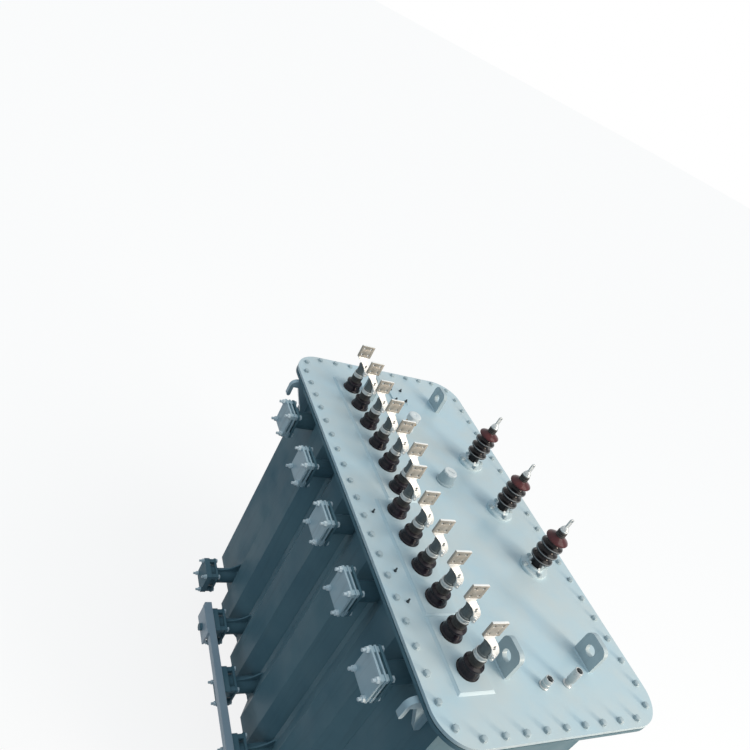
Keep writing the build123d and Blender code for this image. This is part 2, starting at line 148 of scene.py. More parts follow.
def pick(piece: Piece, kind: str, test: Callable[[bpy.types.bpy_struct], bool]) -> None:
    """Select the faces or edges that pass a test, and stay in edit mode.

    Args:
        piece: The piece whose parts are picked.
        kind: FACE or EDGE.
        test: Tells of one face or edge whether it is picked.
    """
    take(piece)
    bpy.ops.object.mode_set(mode="EDIT")
    bpy.ops.mesh.select_mode(type=kind)
    bpy.ops.mesh.select_all(action="DESELECT")
    bpy.ops.object.mode_set(mode="OBJECT")
    for part in piece.data.polygons if kind == "FACE" else piece.data.edges:
        part.select = test(part)
    bpy.ops.object.mode_set(mode="EDIT")


def extrude(x: float, y: float, z: float) -> None:
    """Extrude what is selected by a step in millimetres."""
    bpy.ops.mesh.extrude_region_move(TRANSFORM_OT_translate={"value": (x * MM, y * MM, z * MM)})


def resize(ratios: Point, centre: Point) -> None:
    """Scale what is selected about a centre in millimetres."""
    bpy.ops.transform.resize(value=ratios, center_override=[value * MM for value in centre])


def turn_about_z(angle: float, centre: Point) -> None:
    """Turn what is selected about a centre in millimetres by an angle in degrees."""
    middle = [value * MM for value in centre]
    bpy.ops.transform.rotate(value=math.radians(angle), orient_axis="Z", center_override=middle)


def round_corners(piece: Piece, width: float, segments: int) -> None:
    """Round a plate's edges along Y by a width in millimetres.

    Args:
        piece: The plate, which faces along Y.
        width: Width of the rounding.
        segments: Number of faces round each corner.
    """

    def along_y(edge: bpy.types.MeshEdge) -> bool:
        """Tell an edge that runs along Y."""
        start, end = (piece.data.vertices[k].co for k in edge.vertices)
        return abs((end - start).normalized().y) > 0.99

    pick(piece, "EDGE", along_y)
    bpy.ops.mesh.bevel(offset=width * MM, segments=segments, affect="EDGES")
    rest()


def turned(profile: Sequence[Spot], sides: int = 48) -> Piece:
    """Draw a round piece up from a disc, one ring after another.

    Args:
        profile: Radius and height of each ring, in millimetres.
        sides: Number of sides of every ring.

    Returns:
        The closed piece about the vertical axis.
    """
    rest()
    radius, height = profile[0]
    bpy.ops.mesh.primitive_circle_add(
        vertices=sides, radius=radius * MM, fill_type="NGON", location=(0, 0, height * MM)
    )
    piece = bpy.context.object
    settle(piece)
    bpy.ops.object.mode_set(mode="EDIT")
    bpy.ops.mesh.select_all(action="SELECT")
    for next_radius, next_height in profile[1:]:
        extrude(0, 0, next_height - height)
        ratio = next_radius / radius
        resize((ratio, ratio, 1), (0, 0, next_height))
        radius, height = next_radius, next_height
    bpy.ops.mesh.select_all(action="SELECT")
    bpy.ops.mesh.normals_make_consistent(inside=False)
    rest()
    return piece


def block(middle: Point, size: Point, turn: Point = (0, 0, 0)) -> Piece:
    """Plain block to be shaped: middle and size in millimetres, turn in radians.

    Args:
        middle: Its centre.
        size: Its length along each axis.
        turn: Its turn about each axis.

    Returns:
        The block.
    """
    rest()
    bpy.ops.mesh.primitive_cube_add(
        size=1, location=[v * MM for v in middle], scale=[v * MM for v in size], rotation=turn
    )
    settle(bpy.context.object)
    return bpy.context.object


def drill(x: float, z: float, depth: float, sides: int) -> Piece:
    """Cutter along Y for one 14 mm bolt hole, in millimetres.

    Args:
        x: The hole's place across the plate.
        z: The hole's level.
        depth: The cutter's length.
        sides: The number of its sides.

    Returns:
        The cutter.
    """
    rest()
    spot = (x * MM, 0, z * MM)
    turn = (math.pi / 2, 0, 0)
    bpy.ops.mesh.primitive_cylinder_add(
        vertices=sides, radius=7 * MM, depth=depth * MM, rotation=turn, location=spot
    )
    settle(bpy.context.object)
    return bpy.context.object


def slab(low: Point, high: Point, edge: float) -> Piece:
    """Block between two corners in millimetres, with its edges eased.

    Args:
        low: Its low corner.
        high: Its high corner.
        edge: Width of the eased edges.

    Returns:
        The block.
    """
    piece = block([(a + b) / 2 for a, b in zip(low, high)], [b - a for a, b in zip(low, high)])
    round_edges(piece, edge)
    return piece


def hexagon(across: float, low: float, high: float) -> Piece:
    """Nut or bolt head with chamfered ends, across flats and levels in millimetres.

    Args:
        across: Width across flats.
        low: Level of its underside.
        high: Level of its top.

    Returns:
        The hexagon about the vertical axis.
    """
    radius = across / 2 / math.cos(math.pi / 6)
    ease = (high - low) * 0.12
    rings = ((radius * 0.92, low), (radius, low + ease), (radius, high - ease), (radius * 0.9, high))
    return turned(rings, 6)


def thread(radius: float, low: float, high: float, pitch: float = 2.5) -> Piece:
    """Threaded rod whose ridges have a metric pitch, in millimetres.

    Args:
        radius: Outer radius.
        low: Level of its lower end.
        high: Level of its upper end.
        pitch: Distance from ridge to ridge.

    Returns:
        The rod about the vertical axis.
    """
    count = max(2, round((high - low) / pitch))
    step = (high - low) / count
    rings = [(radius - 1.2, low)]
    for k in range(count):
        rings.append((radius, low + (k + 0.5) * step))
        rings.append((radius - 1.2, low + (k + 1) * step))
    return turned(rings, 12)


def merged(pieces: Sequence[Piece]) -> Piece:
    """Join pieces into one mesh.

    Args:
        pieces: The pieces; the first takes up the others.

    Returns:
        The joined piece.
    """
    rest()
    for piece in pieces:
        piece.select_set(True)
    bpy.context.view_layer.objects.active = pieces[0]
    if len(pieces) > 1:
        bpy.ops.object.join()
    return pieces[0]


def bored(piece: Piece, cutter: Piece) -> Piece:
    """Cut one piece with another and drop the cutter.

    Args:
        piece: The piece to cut.
        cutter: The shape to take away.

    Returns:
        The cut piece.
    """
    apply_modifier(piece, "BOOLEAN", operation="DIFFERENCE", object=cutter, solver="EXACT")
    bpy.data.objects.remove(cutter)
    return piece


def centred(count: int, pitch: float) -> list[float]:
    """Places one pitch apart, centred on zero."""
    return [(k - (count - 1) / 2) * pitch for k in range(count)]


def copy_at(master: Piece, place: Matrix) -> Piece:
    """Copy a piece with its own mesh, moved by a matrix in metres.

    Args:
        master: The piece to copy.
        place: Where the copy goes.

    Returns:
        The copy.
    """
    twin = master.copy()
    twin.data = master.data.copy()
    twin.data.transform(place)
    bpy.context.scene.collection.objects.link(twin)
    return twin


def spread(master: Piece, places: Sequence[Matrix]) -> Piece:
    """Copy a master to its places, join the copies and drop the master.

    Args:
        master: The piece modelled once about the origin.
        places: Where each copy goes.

    Returns:
        The joined piece.
    """
    copies = [copy_at(master, place) for place in places]
    bpy.data.objects.remove(master)
    return merged(copies)


def at(x: float, y: float, z: float, turn: float = 0.0) -> Matrix:
    """Matrix to a place in millimetres after a turn in degrees about the vertical."""
    return Matrix.Translation(Vector((x, y, z)) * MM) @ Matrix.Rotation(math.radians(turn), 4, "Z")


def along_x(x: float, y: float, z: float, side: int) -> Matrix:
    """Matrix that lays an upright piece along X, pointing away from the tank on one side."""
    return Matrix.Translation(Vector((x, y, z)) * MM) @ Matrix.Rotation(side * math.pi / 2, 4, "Y")


def dress(name: str, piece: Piece, finish: "Finish", slot: Slot, *nodes: str) -> None:
    """Give a piece its name, its finish, its body and the nodes that it stands for.

    Args:
        name: The piece's name.
        piece: The finished piece.
        finish: What it is made of.
        slot: The record's slot for that material; not used.
        nodes: Plain nodes that the piece replaces.
    """
    piece.name = name
    smooth(piece)
    piece.data.materials.clear()
    piece.data.materials.append(finish.material())
    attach(piece, "root")
    if nodes:
        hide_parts(*nodes)
    logger.info("%s: %d faces", piece.name, len(piece.data.polygons))


# Finishes


def linear(hex_colour: str) -> tuple[float, float, float, float]:
    """Turn an sRGB hex colour into linear light.

    Args:
        hex_colour: The colour as #RRGGBB.

    Returns:
        Red, green, blue and alpha.
    """
    parts = [int(hex_colour[k : k + 2], 16) / 255 for k in (1, 3, 5)]
    light = [p / 12.92 if p <= 0.04045 else ((p + 0.055) / 1.055) ** 2.4 for p in parts]
    return (light[0], light[1], light[2], 1.0)


def emptied(owner: bpy.types.Material | bpy.types.World) -> Tree:
    """Give the node tree of a material or a world, with nothing in it.

    Args:
        owner: The material or the world.

    Returns:
        Its node tree.
    """
    owner.use_nodes = True
    owner.node_tree.nodes.clear()
    return owner.node_tree


def add_node(tree: Tree, kind: str, inputs: Inputs | None = None) -> Sequence[Socket]:
    """Add one node with its settings and its links.

    Args:
        tree: The node tree.
        kind: The node's type name after ShaderNode.
        inputs: For each input or property, its value or the socket that feeds it.

    Returns:
        The node's outputs.
    """
    node = tree.nodes.new("ShaderNode" + kind)
    for name, value in (inputs or {}).items():
        if isinstance(value, Socket):
            tree.links.new(value, node.inputs[name])
        elif isinstance(name, int) or name in node.inputs:
            node.inputs[name].default_value = value
        else:
            setattr(node, name, value)
    return node.outputs


def grain(
    tree: Tree,
    size: float,
    detail: float,
    stretch: Point = (1, 1, 1),
    span: Spot | None = None,
) -> Socket:
    """Noise on Object coordinates with grains of a size in millimetres.

    Args:
        tree: The node tree.
        size: Typical width of one grain.
        detail: Octaves of finer noise.
        stretch: How often the pattern repeats along each axis; less is longer.
        span: Levels of the noise that become 0 and 1, which leaves soft patches.

    Returns:
        The noise value.
    """
    coords = add_node(tree, "TexCoord")["Object"]
    mapped = add_node(tree, "Mapping", {"Scale": stretch, "Vector": coords})["Vector"]
    noise = {"Scale": 1 / (size * MM), "Detail": detail, "Roughness": 0.55, "Vector": mapped}
    value = add_node(tree, "TexNoise", noise)["Fac"]
    if span is None:
        return value
    return add_node(tree, "MapRange", {"Value": value, "From Min": span[0], "From Max": span[1]})[0]


def mottled(
    tree: Tree, first: str, second: str, size: float, detail: float, span: Spot
) -> Socket:
    """Colour that changes between two hex colours in soft patches.

    Args:
        tree: The node tree.
        first: The colour where the noise is low.
        second: The colour where the noise is high.
        size: Typical width of one patch in millimetres.
        detail: Octaves of finer noise.
        span: Levels of the noise where the first colour ends and the second is full.

    Returns:
        The colour.
    """
    factor = grain(tree, size, detail, span=span)
    colours = {"Color1": linear(first), "Color2": linear(second)}
    return add_node(tree, "MixRGB", {"Fac": factor, **colours})[0]


def facing(tree: Tree, low: float, high: float, most: float = 1.0) -> Socket:
    """How far a face looks up.

    Args:
        tree: The node tree.
        low: Upward part of the normal where the value is 0.
        high: Upward part of the normal where the value is full.
        most: The full value.

    Returns:
        The value.
    """
    normal = add_node(tree, "NewGeometry")["Normal"]
    up = add_node(tree, "SeparateXYZ", {"Vector": normal})["Z"]
    levels = {"From Min": low, "From Max": high, "To Max": most}
    return add_node(tree, "MapRange", {"Value": up, **levels})[0]


@dataclass(frozen=True)
class SprayedEnamel:
    """Two-pack enamel sprayed on plate: satin, a little orange peel, dust on top, streaks below."""

    name: str
    colour: str
    worn: str
    dust: str
    dusting: float = 0.3
    roughness: float = 0.36
    peel_size: float = 7.0
    peel_depth: float = 0.12
    edge: float = 2.0
    specular: float = 0.4
    grime: str = "#4F5F62"

    def look(self, tree: Tree) -> Inputs:
        """Draw the enamel's patterns.

        Args:
            tree: An empty node tree.

        Returns:
            The shader's settings.
        """
        # cloudy tone where the sprayed coats overlap, half a metre across
        tone = mottled(tree, self.colour, self.worn, 420, 4, (0.38, 0.66))
        # rain and grime run down the walls in streaks 30 mm wide
        streak = grain(tree, 30, 5, (1, 1, 0.05), (0.52, 0.78))
        steep = facing(tree, 0.5, 0.1, 0.28)
        runs = add_node(tree, "Math", {"operation": "MULTIPLY", 0: streak, 1: steep})[0]
        grime = {"Fac": runs, "Color1": tone, "Color2": linear(self.grime)}
        grimy = add_node(tree, "MixRGB", grime)[0]
        # pale dust lies in patches on what faces up
        patch = grain(tree, 240, 7, span=(0.42, 0.72))
        level = facing(tree, 0.6, 0.95, self.dusting)
        dusty = add_node(tree, "Math", {"operation": "MULTIPLY", 0: patch, 1: level})[0]
        dust = {"Fac": dusty, "Color1": grimy, "Color2": linear(self.dust)}
        rough = {"Value": patch, "To Min": self.roughness - 0.05, "To Max": self.roughness + 0.22}
        # rounded paint over the plate edges, then the orange peel, then slow waves
        edges = add_node(tree, "Bevel", {"samples": 4, "Radius": self.edge * MM})[0]
        peel = {"Strength": 0.35, "Distance": self.peel_depth * MM, "Normal": edges}
        peeled = add_node(tree, "Bump", {**peel, "Height": grain(tree, self.peel_size, 2)})[0]
        wave = {"Strength": 0.5, "Distance": 1.6 * MM, "Normal": peeled}
        return {
            "IOR": 1.5,
            "Specular IOR Level": self.specular,
            "Base Color": add_node(tree, "MixRGB", dust)[0],
            "Roughness": add_node(tree, "MapRange", rough)[0],
            "Normal": add_node(tree, "Bump", {**wave, "Height": grain(tree, 330, 1)})[0],
        }


@dataclass(frozen=True)
class BrownGlaze:
    """Iron-brown salt glaze on wet-process porcelain: near black, glassy, redder where it is thin."""

    name: str
    thick: str
    thin: str
    speck: str = "#120B0D"

    def look(self, tree: Tree) -> Inputs:
        """Draw the glaze's patterns.

        Args:
            tree: An empty node tree.

        Returns:
            The shader's settings.
        """
        # glaze pools and thins over some 60 mm, with 3 mm specks in it
        colour = mottled(tree, self.thick, self.thin, 60, 3, (0.45, 0.75))
        speck = grain(tree, 3, 2, span=(0.66, 0.72))
        specked = {"Fac": speck, "Color1": colour, "Color2": linear(self.speck)}
        ripple = {"Strength": 0.25, "Distance": 0.4 * MM, "Height": grain(tree, 18, 2)}
        return {
            "Roughness": 0.2,
            "IOR": 1.5,
            "Specular IOR Level": 0.22,
            "Base Color": add_node(tree, "MixRGB", specked)[0],
            "Normal": add_node(tree, "Bump", ripple)[0],
        }


@dataclass(frozen=True)
class BareMetal:
    """Plated or bare metal: bright, with the fine lines or crystals of how it was finished."""

    name: str
    bright: str
    dull: str
    roughness: float
    grain_size: float
    stretch: Point = (1, 1, 1)
    depth: float = 0.05
    metallic: float = 1.0
    # colour of the painted highlight on faces that look up; empty gives the bright colour
    top_highlight: str = ""

    def look(self, tree: Tree) -> Inputs:
        """Draw the metal's patterns.

        Args:
            tree: An empty node tree.

        Returns:
            The shader's settings.
        """
        lines = grain(tree, self.grain_size, 3, self.stretch)
        stained = mottled(tree, self.bright, self.dull, self.grain_size * 12, 4, (0.4, 0.7))
        # painted highlight: faces that look up take the top highlight colour, the others keep the
        # mottled tarnish
        upper = facing(tree, 0.6, 0.9)
        edge = linear(self.top_highlight or self.bright)
        stain_and_highlight = {"Fac": upper, "Color1": stained, "Color2": edge}
        rough = {"Value": lines, "To Min": self.roughness - 0.08, "To Max": self.roughness + 0.14}
        edges = add_node(tree, "Bevel", {"samples": 4, "Radius": 0.8 * MM})[0]
        relief = {"Strength": 0.4, "Distance": self.depth * MM, "Height": lines, "Normal": edges}
        return {
            "Metallic": self.metallic,
            "Base Color": add_node(tree, "MixRGB", stain_and_highlight)[0],
            "Roughness": add_node(tree, "MapRange", rough)[0],
            "Normal": add_node(tree, "Bump", relief)[0],
        }


@dataclass(frozen=True)
class MouldedRubber:
    """Moulded nitrile rubber: black, dull, with a fine talc bloom."""

    name: str
    colour: str
    bloom: str
    roughness: float = 0.55

    def look(self, tree: Tree) -> Inputs:
        """Draw the rubber's patterns.

        Args:
            tree: An empty node tree.

        Returns:
            The shader's settings.
        """
        # talc bloom in 25 mm clouds and a 2 mm mould grain
        skin = {"Strength": 0.3, "Distance": 0.2 * MM, "Height": grain(tree, 2, 2)}
        return {
            "Roughness": self.roughness,
            "Base Color": mottled(tree, self.colour, self.bloom, 25, 4, (0.5, 0.8)),
            "Normal": add_node(tree, "Bump", skin)[0],
        }


class Finish(Enum):
    """Every finish of the transformer."""

    # one enamel on walls and cover: the walls take a darker copy as painted shade, the cover a
    # lighter copy as painted light
    TANK = SprayedEnamel("satin_grey_enamel_walls_painted_shade", "#617F8B", "#6C8993", "#8A9EA4", specular=0.06)
    COVER = SprayedEnamel("satin_grey_enamel_cover_painted_light", "#BFD6DF", "#C8D7DB", "#D2D6D3", 0.55, 0.34)
    # the same enamel with a finer peel, in a lighter copy as painted light on the turned and cut
    # upper flanges, their blanks and the hooks
    FLANGE = SprayedEnamel(
        "satin_grey_enamel_flanges_painted_light", "#B4CAD3", "#BDD0D8", "#C6D2D6", peel_size=4.0, edge=1.5
    )
    # zinc-plated fasteners under one thin coat of paint
    FASTENER = SprayedEnamel(
        "painted_zinc_studs", "#DDE8ED", "#E4EDF0", "#E6ECED", 0.3, 0.3, 3.0, 0.1, 0.8
    )
    BOLT = SprayedEnamel(
        "painted_zinc_bolts", "#A9BAC0", "#B6C4C8", "#C4CED0", 0.3, 0.36, 3.0, 0.1, 0.8
    )
    BASE = SprayedEnamel("satin_grey_enamel_skids", "#5C6F76", "#66797F", "#84949A", 0.4)
    BAR = SprayedEnamel("primed_square_tube", "#AEBCC7", "#B6C2CB", "#BEC8CE", 0.4, specular=0.3)
    # white stove enamel on the pressed caps
    WHITE = SprayedEnamel(
        "white_stoved_enamel", "#E8ECEC", "#E0E5E6", "#E4E5E1", 0.3, 0.28, 5.0, 0.08, 1.0
    )
    GLAZE = BrownGlaze("iron_brown_glazed_porcelain", "#17151C", "#2B222B")
    # painted shade: a near-black copy of the glaze on the lower sheds, under the top shed
    SHED_GLAZE_PAINTED_SHADE = BrownGlaze("black_brown_glaze_painted_shade", "#0E0D11", "#1B171B")
    # light grey bands on the shed edges: painted highlight where the glaze reflects the sky
    RIM_HIGHLIGHT = BrownGlaze("painted_highlight_on_shed_edges", "#777B7E", "#8C9092")
    # painted light: a red-brown copy of the same glaze on the top shed and cone, where the light
    # falls
    HEAD_GLAZE_PAINTED_LIGHT = BrownGlaze("red_brown_glaze_painted_light", "#52282C", "#6A3432")
    RUBBER = MouldedRubber("moulded_nitrile_rubber", "#161616", "#343636")
    # tinned copper palms: dull and warm on the faces, with a near-white painted highlight on the
    # faces that look up
    TINNED = BareMetal(
        "tinned_copper_palm", "#ACA79E", "#9A948A", 0.42, 2.0, (1, 1, 0.3), 0.05, 0.3, "#FAF9F6"
    )
    # tin-dipped straps: brighter and smoother, where the dip ran off
    STRAP = BareMetal("dipped_tin_strap", "#F0F0EE", "#E0DFDB", 0.34, 3.0, metallic=0.3)
    # sand-cast aluminium clamp barrels: darker, coarse 4 mm skin
    CAST = BareMetal("sand_cast_aluminium", "#5A6467", "#4D5659", 0.5, 4.0, depth=0.2, metallic=0.4)
    # bright zinc plate with a slight crystal of 5 mm
    ZINC = BareMetal("bright_zinc_plate", "#C6CBCC", "#B2B8B9", 0.36, 5.0, metallic=0.7)
    # turned brass, warm yellow, 1 mm tool lines round it
    BRASS = BareMetal("turned_brass", "#C0964E", "#957038", 0.34, 1.0, (1, 1, 4))
    # oiled black steel studs
    DARK = BareMetal("oiled_black_steel", "#3F4A4F", "#333D43", 0.5, 3.0, metallic=0.6)

    def material(self) -> bpy.types.Material:
        """Give this finish's material, which is built at its first use.

        Returns:
            The material.
        """
        material = bpy.data.materials.get(self.value.name)
        if material is None:
            material = bpy.data.materials.new(self.value.name)
            tree = emptied(material)
            shader = add_node(tree, "BsdfPrincipled", self.value.look(tree))[0]
            add_node(tree, "OutputMaterial", {"Surface": shader})
        return material


def paint_nodes(nodes: dict[str, Piece]) -> None:
    """Put the finishes on the plain nodes; those not named here are tank walls, nodes that get
    replaced, and the lower valves and blanks, which take the walls' darker enamel as painted shade.

    Args:
        nodes: Every node of the loaded frame by name.
    """
    starts = {
        ("skid",): Finish.BASE,
        ("tie_bar",): Finish.BAR,
        ("cover_gasket", "lv_collars"): Finish.RUBBER,
        ("cover", "lv_pads", "pocket_plate"): Finish.COVER,
        ("left_upper_valves", "left_upper_blanks", "lifting_hooks"): Finish.FLANGE,
        ("right_upper_valves", "right_upper_blanks"): Finish.FLANGE,
        ("lifting_lugs",): Finish.BOLT,
    }
    for name, node in nodes.items():
        found = (finish for start, finish in starts.items() if name.startswith(start))
        # the lower valves and blanks fall to the walls' darker enamel, as painted shade
        finish = next(found, Finish.TANK)
        node.data.materials.clear()
        node.data.materials.append(finish.material())


# Sub-assemblies


@dataclass(frozen=True)
class CoverBolts:
    """Hexagon bolts M20 round the cover, with washers above and nuts under the rim."""

    rim_bottom: float = 2142.0
    side_line: float = 664.0
    side_pitch: float = 133.0
    side_count: int = 19
    end_line: float = 1372.0
    end_pitch: float = 126.4
    end_count: int = 9
    corner: Spot = (630.0, 1314.0)
    washer: float = 3.2
    across: float = 30.0

    def places(self) -> list[Spot]:
        """Work out where every bolt stands.

        Returns:
            Plan positions in millimetres.
        """
        spots = []
        for side in (-1, 1):
            spots += [(side * self.side_line, y) for y in centred(self.side_count, self.side_pitch)]
            spots += [(x, side * self.end_line) for x in centred(self.end_count, self.end_pitch)]
            spots += [(side * self.corner[0], end * self.corner[1]) for end in (-1, 1)]
        return spots

    def build(self) -> None:
        """Model one bolt with its washers and nut, and set it round the rim."""
        washer = turned(((17.5, 0), (18.5, 0.6), (18.5, 2.6), (17.5, self.washer)), 24)
        head = hexagon(self.across, self.washer, 15.5)
        crown = turned(((13.2, 15.2), (12.4, 16.6), (9, 17.4)), 18)
        depth = self.rim_bottom - COVER_TOP
        lower_washer = turned(((18.5, depth - self.washer), (18.5, depth)), 24)
        round_edges(lower_washer, 0.6)
        nut = hexagon(self.across, depth - 16 - self.washer, depth - self.washer)
        tail = thread(10, depth - 30, depth - 18)
        master = merged([washer, head, crown, lower_washer, nut, tail])
        matrices = [at(x, y, COVER_TOP, turn=17.0 * k) for k, (x, y) in enumerate(self.places())]
        dress("cover_bolts", spread(master, matrices), Finish.BOLT, Slot.COVER)


@dataclass(frozen=True)
class FlangeStuds:
    """Studs M18 through every pipe flange, valve and blank plate."""

    spacing: float = 152.0
    upper_face: float = 816.0
    lower_face: float = 841.0
    bar_low_end: float = -1060.0
    bar_far_end: float = 600.0

    def stud(self, face: float, with_nut: bool) -> Piece:
        """Model one stud along the upright axis, from its head behind the flange.

        Args:
            face: How far out the blank plate's face is.
            with_nut: False where the tie bar covers the stud's outer end.

        Returns:
            The stud, its zero level in the tank's middle plane.
        """
        parts = [
            hexagon(30, FLANGE_BACK - 14, FLANGE_BACK - 3),
            turned(((16.5, FLANGE_BACK - 3), (16.5, FLANGE_BACK)), 20),
            turned(((8.8, FLANGE_BACK - 1), (8.8, face + 1)), 14),
        ]
        if with_nut:
            washer = turned(((16.5, face), (16.5, face + 3)), 20)
            parts += [washer, hexagon(29, face + 3, face + 18), thread(9.4, face + 17, face + 38)]
        return merged(parts)

    def build(self) -> None:
        """Set the studs on both long sides, in one piece for each row."""
        corners = centred(2, self.spacing)
        rows = (("upper", UPPER_AXIS, self.upper_face), ("lower", LOWER_AXIS, self.lower_face))
        for (side, side_name), (level, axis, face) in product(((-1, "left"), (1, "right")), rows):
            full, short = [], []
            for line, dy, dz in product(centred(PIPE_COUNT, PIPE_PITCH), corners, corners):
                y = line + dy
                by_bar = side < 0 and level == "lower" and dz > 0
                covered = by_bar and self.bar_low_end < y < self.bar_far_end
                (short if covered else full).append(along_x(0, y, axis + dz, side))
            pieces = [spread(self.stud(face, True), full)]
            if short:
                pieces.append(spread(self.stud(face, False), short))
            dress(f"{side_name}_{level}_studs", merged(pieces), Finish.FASTENER, Slot.TANK)


@dataclass(frozen=True)
class LowVoltageRow:
    """Six low-voltage bushings of one row: porcelain, ring nut, clamp barrel and bent palm."""

    row: Row
    line: float
    shift: float
    pad_top: float = 2202.0
    pitch: float = 194.5
    middle: float = 7.0
    count: int = 6
    palm_width: float = 98.0
    palm_height: float = 92.0
    palm_low: float = 270.0
    thickness: float = 12.0
    hole_pitch: float = 50.0
    clamp_turn: float = -48.0

    def places(self) -> list[Matrix]:
        """Where each bushing of the row stands on its pad.

        Returns:
            The place of each bushing, from the row's inner end.
        """
        step = self.pitch if self.row is Row.FAR else -self.pitch
        lines = [self.middle + step * (k + 0.5) for k in range(self.count)]
        return [at(self.line, y, self.pad_top) for y in lines]

    def porcelain(self) -> Piece:
        """Model the glazed body, from its foot rim to its short neck."""
        rings = (
            (59, 0), (61, 1.5), (61, 8), (59, 10), (57, 12), (54.5, 24),
            (51, 36), (48.4, 43), (48.2, 46), (50, 48.5), (54, 50), (55, 52),
            (55, 60), (54, 63), (49, 66), (41, 68.5), (37, 70.5), (36, 74),
            (36, 88),
        )
        return turned(rings, 56)

    def sleeve(self) -> Piece:
        """Model the rubber sleeve drawn over the neck under the ring nut."""
        rings = (
            (36.5, 69), (38.5, 70.5), (38.5, 77), (37, 79), (37, 105), (38.5, 107),
            (38.5, 112), (36.5, 114),
        )
        return turned(rings)

    def ring_nut(self) -> Piece:
        """Model the round nut with a notched grip band.

        Returns:
            The nut.
        """
        rings = (
            (33, 114), (36.4, 114.6), (37, 116), (37, 119.5), (35.6, 120.2),
            (35.6, 134), (37, 134.8), (37, 139), (36.2, 140.6), (32, 141),
        )
        nut = turned(rings)

        def on_band(face: bpy.types.MeshPolygon) -> bool:
            """Tell every second face of the grip band."""
            turn = math.degrees(math.atan2(face.center.y, face.center.x)) % 15
            return abs(face.normal.z) < 0.1 and 0.122 < face.center.z < 0.132 and turn < 7.5

        pick(nut, "FACE", on_band)
        bpy.ops.mesh.inset(thickness=0.5 * MM, depth=-1.2 * MM, use_individual=True)
        rest()
        return nut

    def barrel(self) -> Piece:
        """Model the cast barrel with its split clamp ears.

        Returns:
            The barrel with its seat.
        """
        rings = (
            (30, 140), (33, 142), (33, 148), (29, 151), (28.5, 204), (29.5, 208),
            (29, 216), (26, 222), (20, 225),
        )
        body = turned(rings, 40)
        seat = turned(((31, 200), (32.5, 202), (32.5, 208), (31, 210)), 40)
        return merged([body, seat])

    def clamp_ears(self) -> Piece:
        """Model the two ears that the clamp bolts draw together.

        Returns:
            Both ears.
        """
        ears = []
        for low, high in ((3, 15), (-15, -3)):
            ears.append(slab((20, low, 143), (54, high, 178), 0.6))
            round_corners(ears[-1], 7, 3)
        piece = merged(ears)
        piece.data.transform(Matrix.Rotation(math.radians(self.clamp_turn), 4, "Z"))
        return piece

    def clamp_bolts(self) -> Piece:
        """Model the two bolts that draw the clamp ears together.

        Returns:
            Both bolts with their nuts.
        """
        shank = turned(((4.8, -16), (4.8, 16)), 10)
        bolt = merged([hexagon(15, -24, -15), shank, hexagon(15, 15, 23), thread(5, 22, 30)])
        lay = Matrix.Rotation(-math.pi / 2, 4, "X")
        turn = Matrix.Rotation(math.radians(self.clamp_turn), 4, "Z")
        spots = [Matrix.Translation(Vector((43, 0, z)) * MM) for z in (151.5, 169.5)]
        return spread(bolt, [turn @ spot @ lay for spot in spots])

    def neck(self) -> Piece:
        """Model the bent and twisted strap from the clamp up to the palm.

        Returns:
            The strap.
        """
        # across, along, level, width and turn of each cross-section
        sections = (
            (31, -29, 160, 50, 4),
            (27, -28, 182, 50, 4),
            (14, -25, 204, 50, 6),
            (-4, -18, 226, 50, 8),
            (-self.shift * 0.7, -8, 248, 54, 4),
            (-self.shift - 6, -2, 262, 66, 0),
            (-self.shift - 4, 0, 274, 80, 0),
        )
        x, y, z, width, turn = sections[0]
        strap = block((x, y, z - 4), (width, self.thickness, 8), (0, 0, math.radians(turn)))
        pick(strap, "FACE", lambda face: face.normal.z > 0.9)
        for new_x, new_y, new_z, new_width, new_turn in sections[1:]:
            extrude(new_x - x, new_y - y, new_z - z)
            # turned back to the axes, widened, and turned to the new angle
            centre = (new_x, new_y, new_z)
            turn_about_z(turn, centre)
            resize((new_width / width, 1, 1), centre)
            turn_about_z(-new_turn, centre)
            x, y, z, width, turn = new_x, new_y, new_z, new_width, new_turn
        rest()
        round_edges(strap, 3.0, 3)
        return strap

    def palm(self) -> Piece:
        """Model the flat palm with eased corners and four holes.

        Returns:
            The palm.
        """
        middle = self.palm_low + self.palm_height / 2
        plate = block((-self.shift, 0, middle), (self.palm_width, self.thickness, self.palm_height))
        round_corners(plate, 3, 3)
        steps = centred(2, self.hole_pitch)
        drills = [drill(dx - self.shift, middle + dz, 40, 20) for dx, dz in product(steps, steps)]
        bored(plate, merged(drills))
        round_edges(plate, 0.8)
        return plate

    def build(self) -> None:
        """Model one bushing and set it along the row."""
        name = self.row.value
        spots = self.places()
        porcelain = spread(self.porcelain(), spots)
        dress(f"lv_porcelain_{name}", porcelain, Finish.GLAZE, Slot.PORCELAIN, f"lv_bushings_{name}")
        foot = turned(((60, 0), (62.5, 0), (62.5, 2.6), (60, 3.2)))
        seals = [spread(foot, spots), spread(self.sleeve(), spots)]
        dress(f"lv_seals_{name}", merged(seals), Finish.RUBBER, Slot.RUBBER)
        palms = spread(self.palm(), spots)
        dress(f"lv_palms_{name}", palms, Finish.TINNED, Slot.TERMINAL, f"lv_terminals_{name}")
        dress(f"lv_straps_{name}", spread(self.neck(), spots), Finish.STRAP, Slot.TERMINAL)
        dress(f"lv_barrels_{name}", spread(self.barrel(), spots), Finish.CAST, Slot.TERMINAL)
        clamp = merged([self.clamp_ears(), self.clamp_bolts()])
        dress(f"lv_clamps_{name}", spread(clamp, spots), Finish.STRAP, Slot.TERMINAL)
        dress(f"lv_ring_nuts_{name}", spread(self.ring_nut(), spots), Finish.ZINC, Slot.STEEL)


